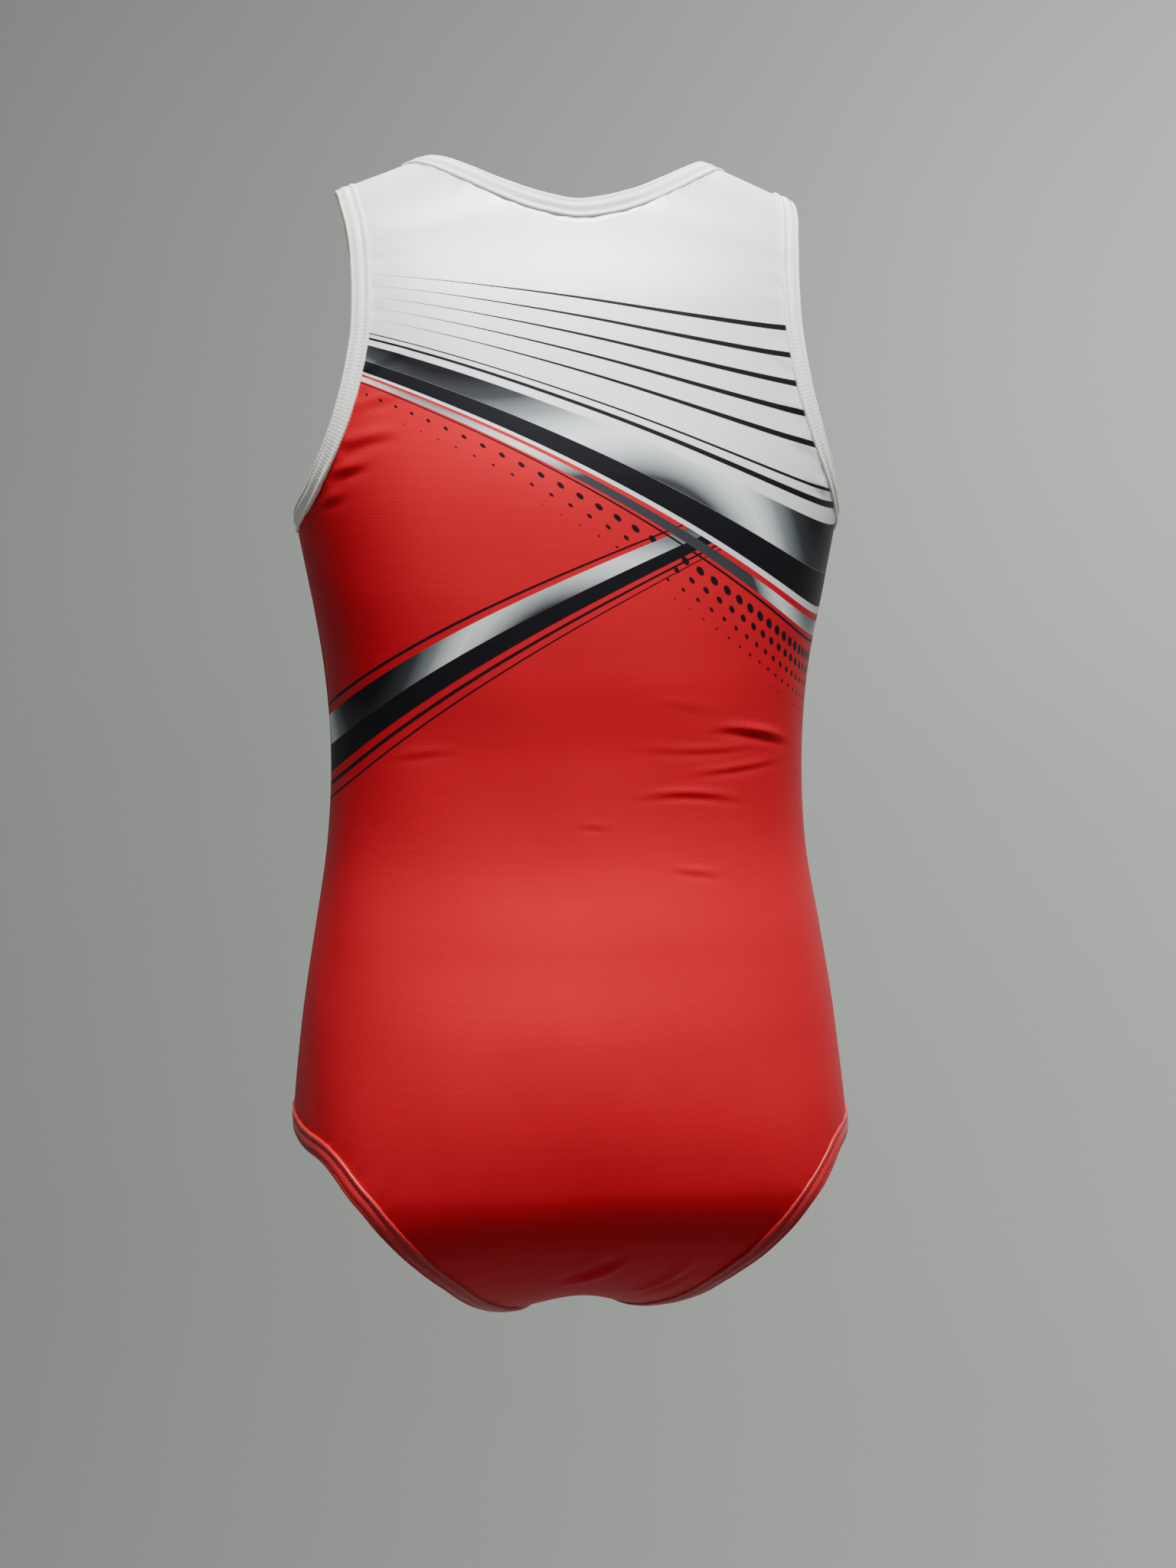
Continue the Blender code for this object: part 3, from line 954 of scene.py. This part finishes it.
def cloth_shader(name, roughness, sheen, sheen_tint=(1, 1, 1, 1), specular=0.5, satin=0.0):
    """A cloth's material; satin is the share of its shine that takes the cloth's own colour."""
    material = bpy.data.materials.new(name)
    material.use_nodes = True
    tree = material.node_tree
    shader = tree.nodes["Principled BSDF"]
    shader.inputs["Roughness"].default_value = roughness
    shader.inputs["Specular IOR Level"].default_value = specular
    shader.inputs["Metallic"].default_value = satin
    shader.inputs["Specular Tint"].default_value = (0.5, 0.5, 0.5, 1) if satin else (1, 1, 1, 1)
    shader.inputs["Sheen Weight"].default_value = sheen
    shader.inputs["Sheen Roughness"].default_value = 0.35
    shader.inputs["Sheen Tint"].default_value = sheen_tint
    return material, tree, shader


def raise_bumps(tree, shader, *layers):
    """Stacks bump layers of height, depth in metres and strength on a shader."""
    before = None
    for height, depth, strength in layers:
        sizes = {"Height": height.socket, "Distance": depth, "Strength": strength}
        bump = add_node(tree, "ShaderNodeBump", sizes)
        if before:
            tree.links.new(before.outputs[0], bump.inputs["Normal"])
        before = bump
    tree.links.new(before.outputs[0], shader.inputs["Normal"])


WHITE = (0.80, 0.81, 0.82, 1)
RED = (0.60, 0.009, 0.022, 1)
BLACK = (0.010, 0.010, 0.013, 1)
CHARCOAL = (0.045, 0.048, 0.055, 1)
STEEL = (0.22, 0.25, 0.26, 1)
SILVER = (0.60, 0.66, 0.66, 1)
METAL = (
    (0.00, BLACK),
    (0.22, CHARCOAL),
    (0.42, STEEL),
    (0.58, SILVER),
    (0.68, WHITE),
    (0.80, SILVER),
    (1.00, CHARCOAL),
)

# Each family of ribbons follows a line: how far it lies below the shoulders and how far it swings as it
# goes round the body, in millimetres.
UPPER_LINE_DOWN = 138.0
UPPER_LINE_SWING = 50.0
UPPER_LINE_BEND = 11.0
LOWER_LINE_DOWN = 212.0
LOWER_LINE_SWING = -62.0

# Ribbons as from and to in millimetres below the line they follow, where their fan is as wide as drawn.
# One family sweeps down to the right and lies over the other, which sweeps down to the left.
UPPER_BLACKS = ((-29.5, -28.3), (-25.0, -22.6), (0.0, 12.0), (23.5, 24.6))
UPPER_SILVERS = ((-17.0, 0.0), (17.0, 22.0))
UPPER_WHITE_ENDS = 14.5
LOWER_BLACKS = ((-11.0, -9.8), (3.0, 12.0), (15.0, 16.6), (20.0, 20.9))
LOWER_SILVERS = ((-7.0, 3.0),)
FAR_ABOVE = -900.0
YOKE_ARCS = (-93.0, -38.0)
YOKE_ARC_PITCH = 11.0
DOT_CELL = 6.2
DOTS_START = 27.0
BODY_RADIUS = 107.0


def printed_colour(tree):
    """The print: a white yoke with tapering arcs, ribbons round the body, and dots that fade into red."""
    round_body, down = map_places(tree, "print")
    downwards = down * 1000.0

    bend = (round_body * 2.0).wave(-0.7) * UPPER_LINE_BEND
    upper = downwards - (round_body.wave(0.30) * UPPER_LINE_SWING + bend + UPPER_LINE_DOWN)
    upper_fan = round_body.wave(-0.25) * 0.52 + 0.86
    fanned = upper / upper_fan
    lower = downwards - (round_body.wave(0.15) * LOWER_LINE_SWING + LOWER_LINE_DOWN)
    lower_fanned = lower / (round_body.wave(0.10) * -0.55 + 0.85)

    shine = (round_body * 4.0).wave(0.4) * 0.44 + fanned * 0.014 + 0.60
    upper_metal = colour_steps(tree, shine, METAL)
    shine = (round_body * 4.0).wave(2.2) * 0.46 + lower_fanned * 0.016 + 0.50
    lower_metal = colour_steps(tree, shine, METAL)

    rows = (upper - upper_fan * DOTS_START) / DOT_CELL
    row = rows.step("FLOOR")
    place = round_body * (BODY_RADIUS / DOT_CELL) + row * 0.5
    out = (place.step("FRACT") - 0.5) * DOT_CELL
    up = (rows - row - 0.5) * DOT_CELL
    from_dot = (out * out + up * up).step("SQRT")
    size = round_body.wave(-0.2) * 1.1 + 1.45 - row * 0.42
    dots = (size - from_dot).above(0.0) * rows.above(0.0, 0.05)
    colour = blend(tree, dots, RED, BLACK)

    for low, high in LOWER_SILVERS:
        colour = blend(tree, lower_fanned.between(low, high), colour, lower_metal)
    for low, high in LOWER_BLACKS:
        colour = blend(tree, lower_fanned.between(low, high), colour, BLACK)
    colour = blend(tree, fanned.between(FAR_ABOVE, UPPER_WHITE_ENDS), colour, WHITE)
    for low, high in UPPER_SILVERS:
        colour = blend(tree, fanned.between(low, high), colour, upper_metal)
    for low, high in UPPER_BLACKS:
        colour = blend(tree, fanned.between(low, high), colour, BLACK)

    from_arc = (fanned / YOKE_ARC_PITCH).step("PINGPONG", 0.5) * YOKE_ARC_PITCH
    arcs = (round_body.wave(0.7) * 1.15 + 0.05 - from_arc).above(0.0) * fanned.between(*YOKE_ARCS)
    return blend(tree, arcs, colour, BLACK)


def printed_knit():
    """The outside of both panels: the print on a satin stretch knit."""
    material, tree, shader = cloth_shader("printed knit", 0.48, 0.0, specular=0.2, satin=0.3)
    right, down = map_places(tree, "cloth")
    patches = noise(tree, 38.0) * 0.10 + 0.95
    parts = {0: printed_colour(tree), 3: patches.socket}
    colour = add_node(tree, "ShaderNodeVectorMath", parts, operation="SCALE")
    tree.links.new(colour.outputs[0], shader.inputs["Base Color"])
    hairlines = noise(tree, 26.0, 3.0, (1.0, 1.0, 9.0))
    raise_bumps(
        tree,
        shader,
        (knit(right, down, KNIT_WALE, KNIT_COURSE), 0.00006, 0.55),
        (hairlines, 0.0006, 0.10),
    )
    return material


def knit_inside():
    """The pale wrong side of the same knit."""
    material, tree, shader = cloth_shader("knit inside", 0.75, 0.15)
    right, down = map_places(tree, "cloth")
    tone = noise(tree, 60.0)
    colour = blend(tree, tone, (0.70, 0.66, 0.66, 1), (0.78, 0.75, 0.75, 1))
    tree.links.new(colour, shader.inputs["Base Color"])
    raise_bumps(tree, shader, (knit(right, down, KNIT_WALE, KNIT_COURSE), 0.00008, 0.6))
    return material


def binding_cloth(name, dark, light, roughness, sheen, tint):
    """A ribbed folded strip that dimples at its stitches."""
    material, tree, shader = cloth_shader(name, roughness, sheen, tint)
    along, out = map_places(tree, "cloth")
    colour = blend(tree, noise(tree, 55.0), dark, light)
    tree.links.new(colour, shader.inputs["Base Color"])
    dimples = (along * (2 * math.pi / STITCH_PITCH)).wave() * 0.5 + 0.5
    raise_bumps(
        tree,
        shader,
        (knit(along, out, BINDING_RIB, BINDING_RIB), 0.00005, 0.5),
        (dimples, 0.00008, 0.5),
        (noise(tree, 330.0, 3.0), 0.0002, 0.25),
    )
    return material


def thread(name, colour, roughness):
    """Sewing thread, a little uneven in tone."""
    material, tree, shader = cloth_shader(name, roughness, 0.3)
    tone = noise(tree, 900.0)
    darker = (*(part * 0.82 for part in colour[:3]), 1)
    tree.links.new(blend(tree, tone, darker, colour), shader.inputs["Base Color"])
    raise_bumps(tree, shader, (tone, 0.0001, 0.4))
    return material


# The garment

printed = printed_knit()
inside = knit_inside()
white_binding = binding_cloth(
    "white binding", (0.76, 0.74, 0.69, 1), (0.84, 0.82, 0.77, 1), 0.46, 0.25, (1, 1, 1, 1)
)
red_binding = binding_cloth(
    "red binding", (0.42, 0.007, 0.016, 1), (0.52, 0.010, 0.020, 1), 0.40, 0.06, (1.0, 0.4, 0.4, 1)
)
white_thread = thread("white thread", (0.86, 0.86, 0.84, 1), 0.5)
red_thread = thread("red thread", (0.55, 0.015, 0.02, 1), 0.45)

# The panels, with each one's flat width and length as cut, and its cut area
PANELS = (
    ("back_panel", BACK_CUT, BACK_CREASES, (0.330, 0.545), 0.1170),
    ("front_panel", FRONT_CUT, FRONT_CREASES, (0.310, 0.500), 0.1050),
)
SIDES = (("back", BACK_CUT), ("front", FRONT_CUT))
HANDS = ((RIGHT, "right"), (LEFT, "left"))


def finish(piece, slot, *nodes):
    """Sets what the piece rides on and hides the solids it stands for; the slot for its finish is not used.
    """
    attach(piece, "root")
    if nodes:
        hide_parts(*nodes)


def add_neck_binding(word, cut):
    """One strip round the neck of the back or the front, from left to right; returns its stitches."""
    places = stitched_places(cut, neck_places)
    left = edge_stations(cut.side, places, LEFT)
    stations = turned_round(left[1:]) + edge_stations(cut.side, places)
    binding = make_binding(f"neck_binding_{word}_fold", stations, cut.side * 1.7, white_binding)
    finish(binding, "white_binding", f"neck_binding_{word}")
    return stitches_on(stations)


def add_armhole_binding(word, cut, hand, hand_word):
    """One strip from the shoulder seam round to the underarm; returns its stitches."""
    stations = edge_stations(cut.side, stitched_places(cut, armhole_places), hand)
    node = f"armhole_binding_{word}_{hand_word}"
    binding = make_binding(f"{node}_fold", stations, cut.side + 0.9 * hand, white_binding)
    finish(binding, "white_binding", node)
    return stitches_on(stations)


def add_leg_binding(hand, hand_word):
    """One strip from the hip down the back, past the crotch seam and up the front; returns its stitches."""
    behind = edge_stations(BACK, stitched_places(BACK_CUT, leg_places), hand)
    ahead = edge_stations(FRONT, stitched_places(FRONT_CUT, leg_places), hand)
    crotch = len(behind) - 1
    stations = behind + turned_round(ahead[:-1])
    binding = make_binding(f"leg_binding_{hand_word}_fold", stations, 2.0 * hand, red_binding, (crotch,))
    finish(binding, "red_binding", f"leg_binding_{hand_word}")
    return stitches_on(stations)


for name, cut, creases, flat, area in PANELS:
    panel = make_panel(name + "_cloth", cut, creases, [printed, inside])
    finish(panel, "printed_knit", name)

white_stitches = []
for word, cut in SIDES:
    white_stitches += add_neck_binding(word, cut)
    for hand, hand_word in HANDS:
        white_stitches += add_armhole_binding(word, cut, hand, hand_word)

red_stitches = []
for hand, hand_word in HANDS:
    red_stitches += add_leg_binding(hand, hand_word)

topstitching = make_stitches(
    "white_topstitching",
    white_stitches,
    white_thread,
    {"Stitch length": 0.00128, "Thread thickness": 0.00042},
)
finish(topstitching, "white_binding")
topstitching = make_stitches(
    "red_topstitching",
    red_stitches,
    red_thread,
    {"Stitch length": 0.00128, "Thread thickness": 0.00038},
)
finish(topstitching, "red_binding")


# Studio


def studio_floor():
    """A round pale floor that curves up into a wall."""
    steps, turns = 24, 72
    level, flat_reach, bend, wall_top = -2.10, 2.2, 1.5, 2.6
    curve = [(0.0, level), (flat_reach, level)]
    for k in range(1, steps + 1):
        angle = QUARTER * k / steps
        curve.append((flat_reach + bend * math.sin(angle), level + bend * (1 - math.cos(angle))))
    curve.append((flat_reach + bend, wall_top))
    floor = bmesh.new()
    centre = floor.verts.new((0, 0, curve[0][1]))
    rings = []
    for reach, height in curve[1:]:
        ring = []
        for k in range(turns):
            angle = 2 * math.pi * k / turns
            ring.append(floor.verts.new((reach * math.cos(angle), reach * math.sin(angle), height)))
        rings.append(ring)
    for k in range(turns):
        floor.faces.new((centre, rings[0][k], rings[0][(k + 1) % turns]))
    for lower, upper in zip(rings, rings[1:]):
        for k in range(turns):
            after = (k + 1) % turns
            floor.faces.new((lower[k], upper[k], upper[after], lower[after]))
    mesh = bpy.data.meshes.new("studio floor")
    floor.to_mesh(mesh)
    floor.free()
    material = bpy.data.materials.new("pale backdrop")
    material.use_nodes = True
    tree = material.node_tree
    shader = tree.nodes["Principled BSDF"]
    shader.inputs["Roughness"].default_value = 0.9
    tone = blend(tree, noise(tree, 1.2), (0.46, 0.477, 0.46, 1), (0.49, 0.508, 0.49, 1))
    tree.links.new(tone, shader.inputs["Base Color"])
    add_piece("studio_floor", mesh, [material])


LAMPS = (
    Lamp("key light", (0.07, -0.53, 0.95), (0, -0.05, -0.25), 0.5, 0.5, 8.4, 70),
    Lamp("front key light", (0.15, 0.85, 0.9), (0, 0.0, -0.25), 0.7, 0.6, 6.0, 80),
    Lamp("fill light", (0.7, -1.9, 0.2), (0, 0, -0.25), 1.6, 1.4, 0.3, 180),
    Lamp("backdrop light", (1.5, 1.0, 0.6), (2.0, 3.2, -0.4), 1.2, 0.8, 76, 180),
    Lamp("rear backdrop light", (-0.9, -2.0, 1.0), (-1.0, -3.7, 0.1), 1.4, 0.9, 18, 180),
    Lamp("left backdrop light", (-2.0, 0.2, 1.0), (-3.7, 0.0, 0.1), 1.4, 0.9, 22, 180),
    Lamp("right backdrop light", (2.0, -0.9, 1.0), (3.6, -1.2, 0.1), 1.4, 0.9, 22, 180),
)


def soft_light(lamp):
    """A broad light that faces its aim. Its power is in watts and its spread in degrees."""
    light = bpy.data.lights.new(lamp.name, "AREA")
    light.shape = "RECTANGLE"
    light.size = lamp.width
    light.size_y = lamp.height
    light.energy = lamp.power
    light.spread = math.radians(lamp.spread)
    holder = bpy.data.objects.new(lamp.name, light)
    holder.location = lamp.place
    facing = Vector(lamp.aim) - Vector(lamp.place)
    holder.rotation_euler = facing.to_track_quat("-Z", "Y").to_euler()
    bpy.context.scene.collection.objects.link(holder)


def soft_world():
    """A faint even light from all round."""
    world = bpy.data.worlds.new("soft studio")
    world.use_nodes = True
    background = world.node_tree.nodes["Background"]
    background.inputs["Color"].default_value = (0.92, 0.95, 0.93, 1)
    background.inputs["Strength"].default_value = 0.03
    bpy.context.scene.world = world


CAMERA_DISTANCE = 1.028
CAMERA_HEIGHT = -0.174
CAMERA_TURN = 7
CAMERA_TILT = 5.6
CAMERA_ASIDE = 0.533
FIGURE_MIDDLE = -0.012


def photo_camera():
    """The photograph's view: from behind, a little from the left and from above the middle."""
    lens = bpy.data.cameras.new("photo camera")
    lens.sensor_fit = "VERTICAL"
    lens.sensor_height = 36
    lens.lens = 50.98
    camera = bpy.data.objects.new("photo camera", lens)
    turned = math.radians(CAMERA_TURN)
    camera.location = (
        -math.sin(turned) * CAMERA_DISTANCE,
        FIGURE_MIDDLE - math.cos(turned) * CAMERA_DISTANCE,
        CAMERA_HEIGHT,
    )
    camera.rotation_euler = (math.radians(90 - CAMERA_TILT), 0, -turned - math.radians(CAMERA_ASIDE))
    bpy.context.scene.collection.objects.link(camera)
    bpy.context.scene.camera = camera


studio_floor()
for lamp in LAMPS:
    soft_light(lamp)
soft_world()
photo_camera()
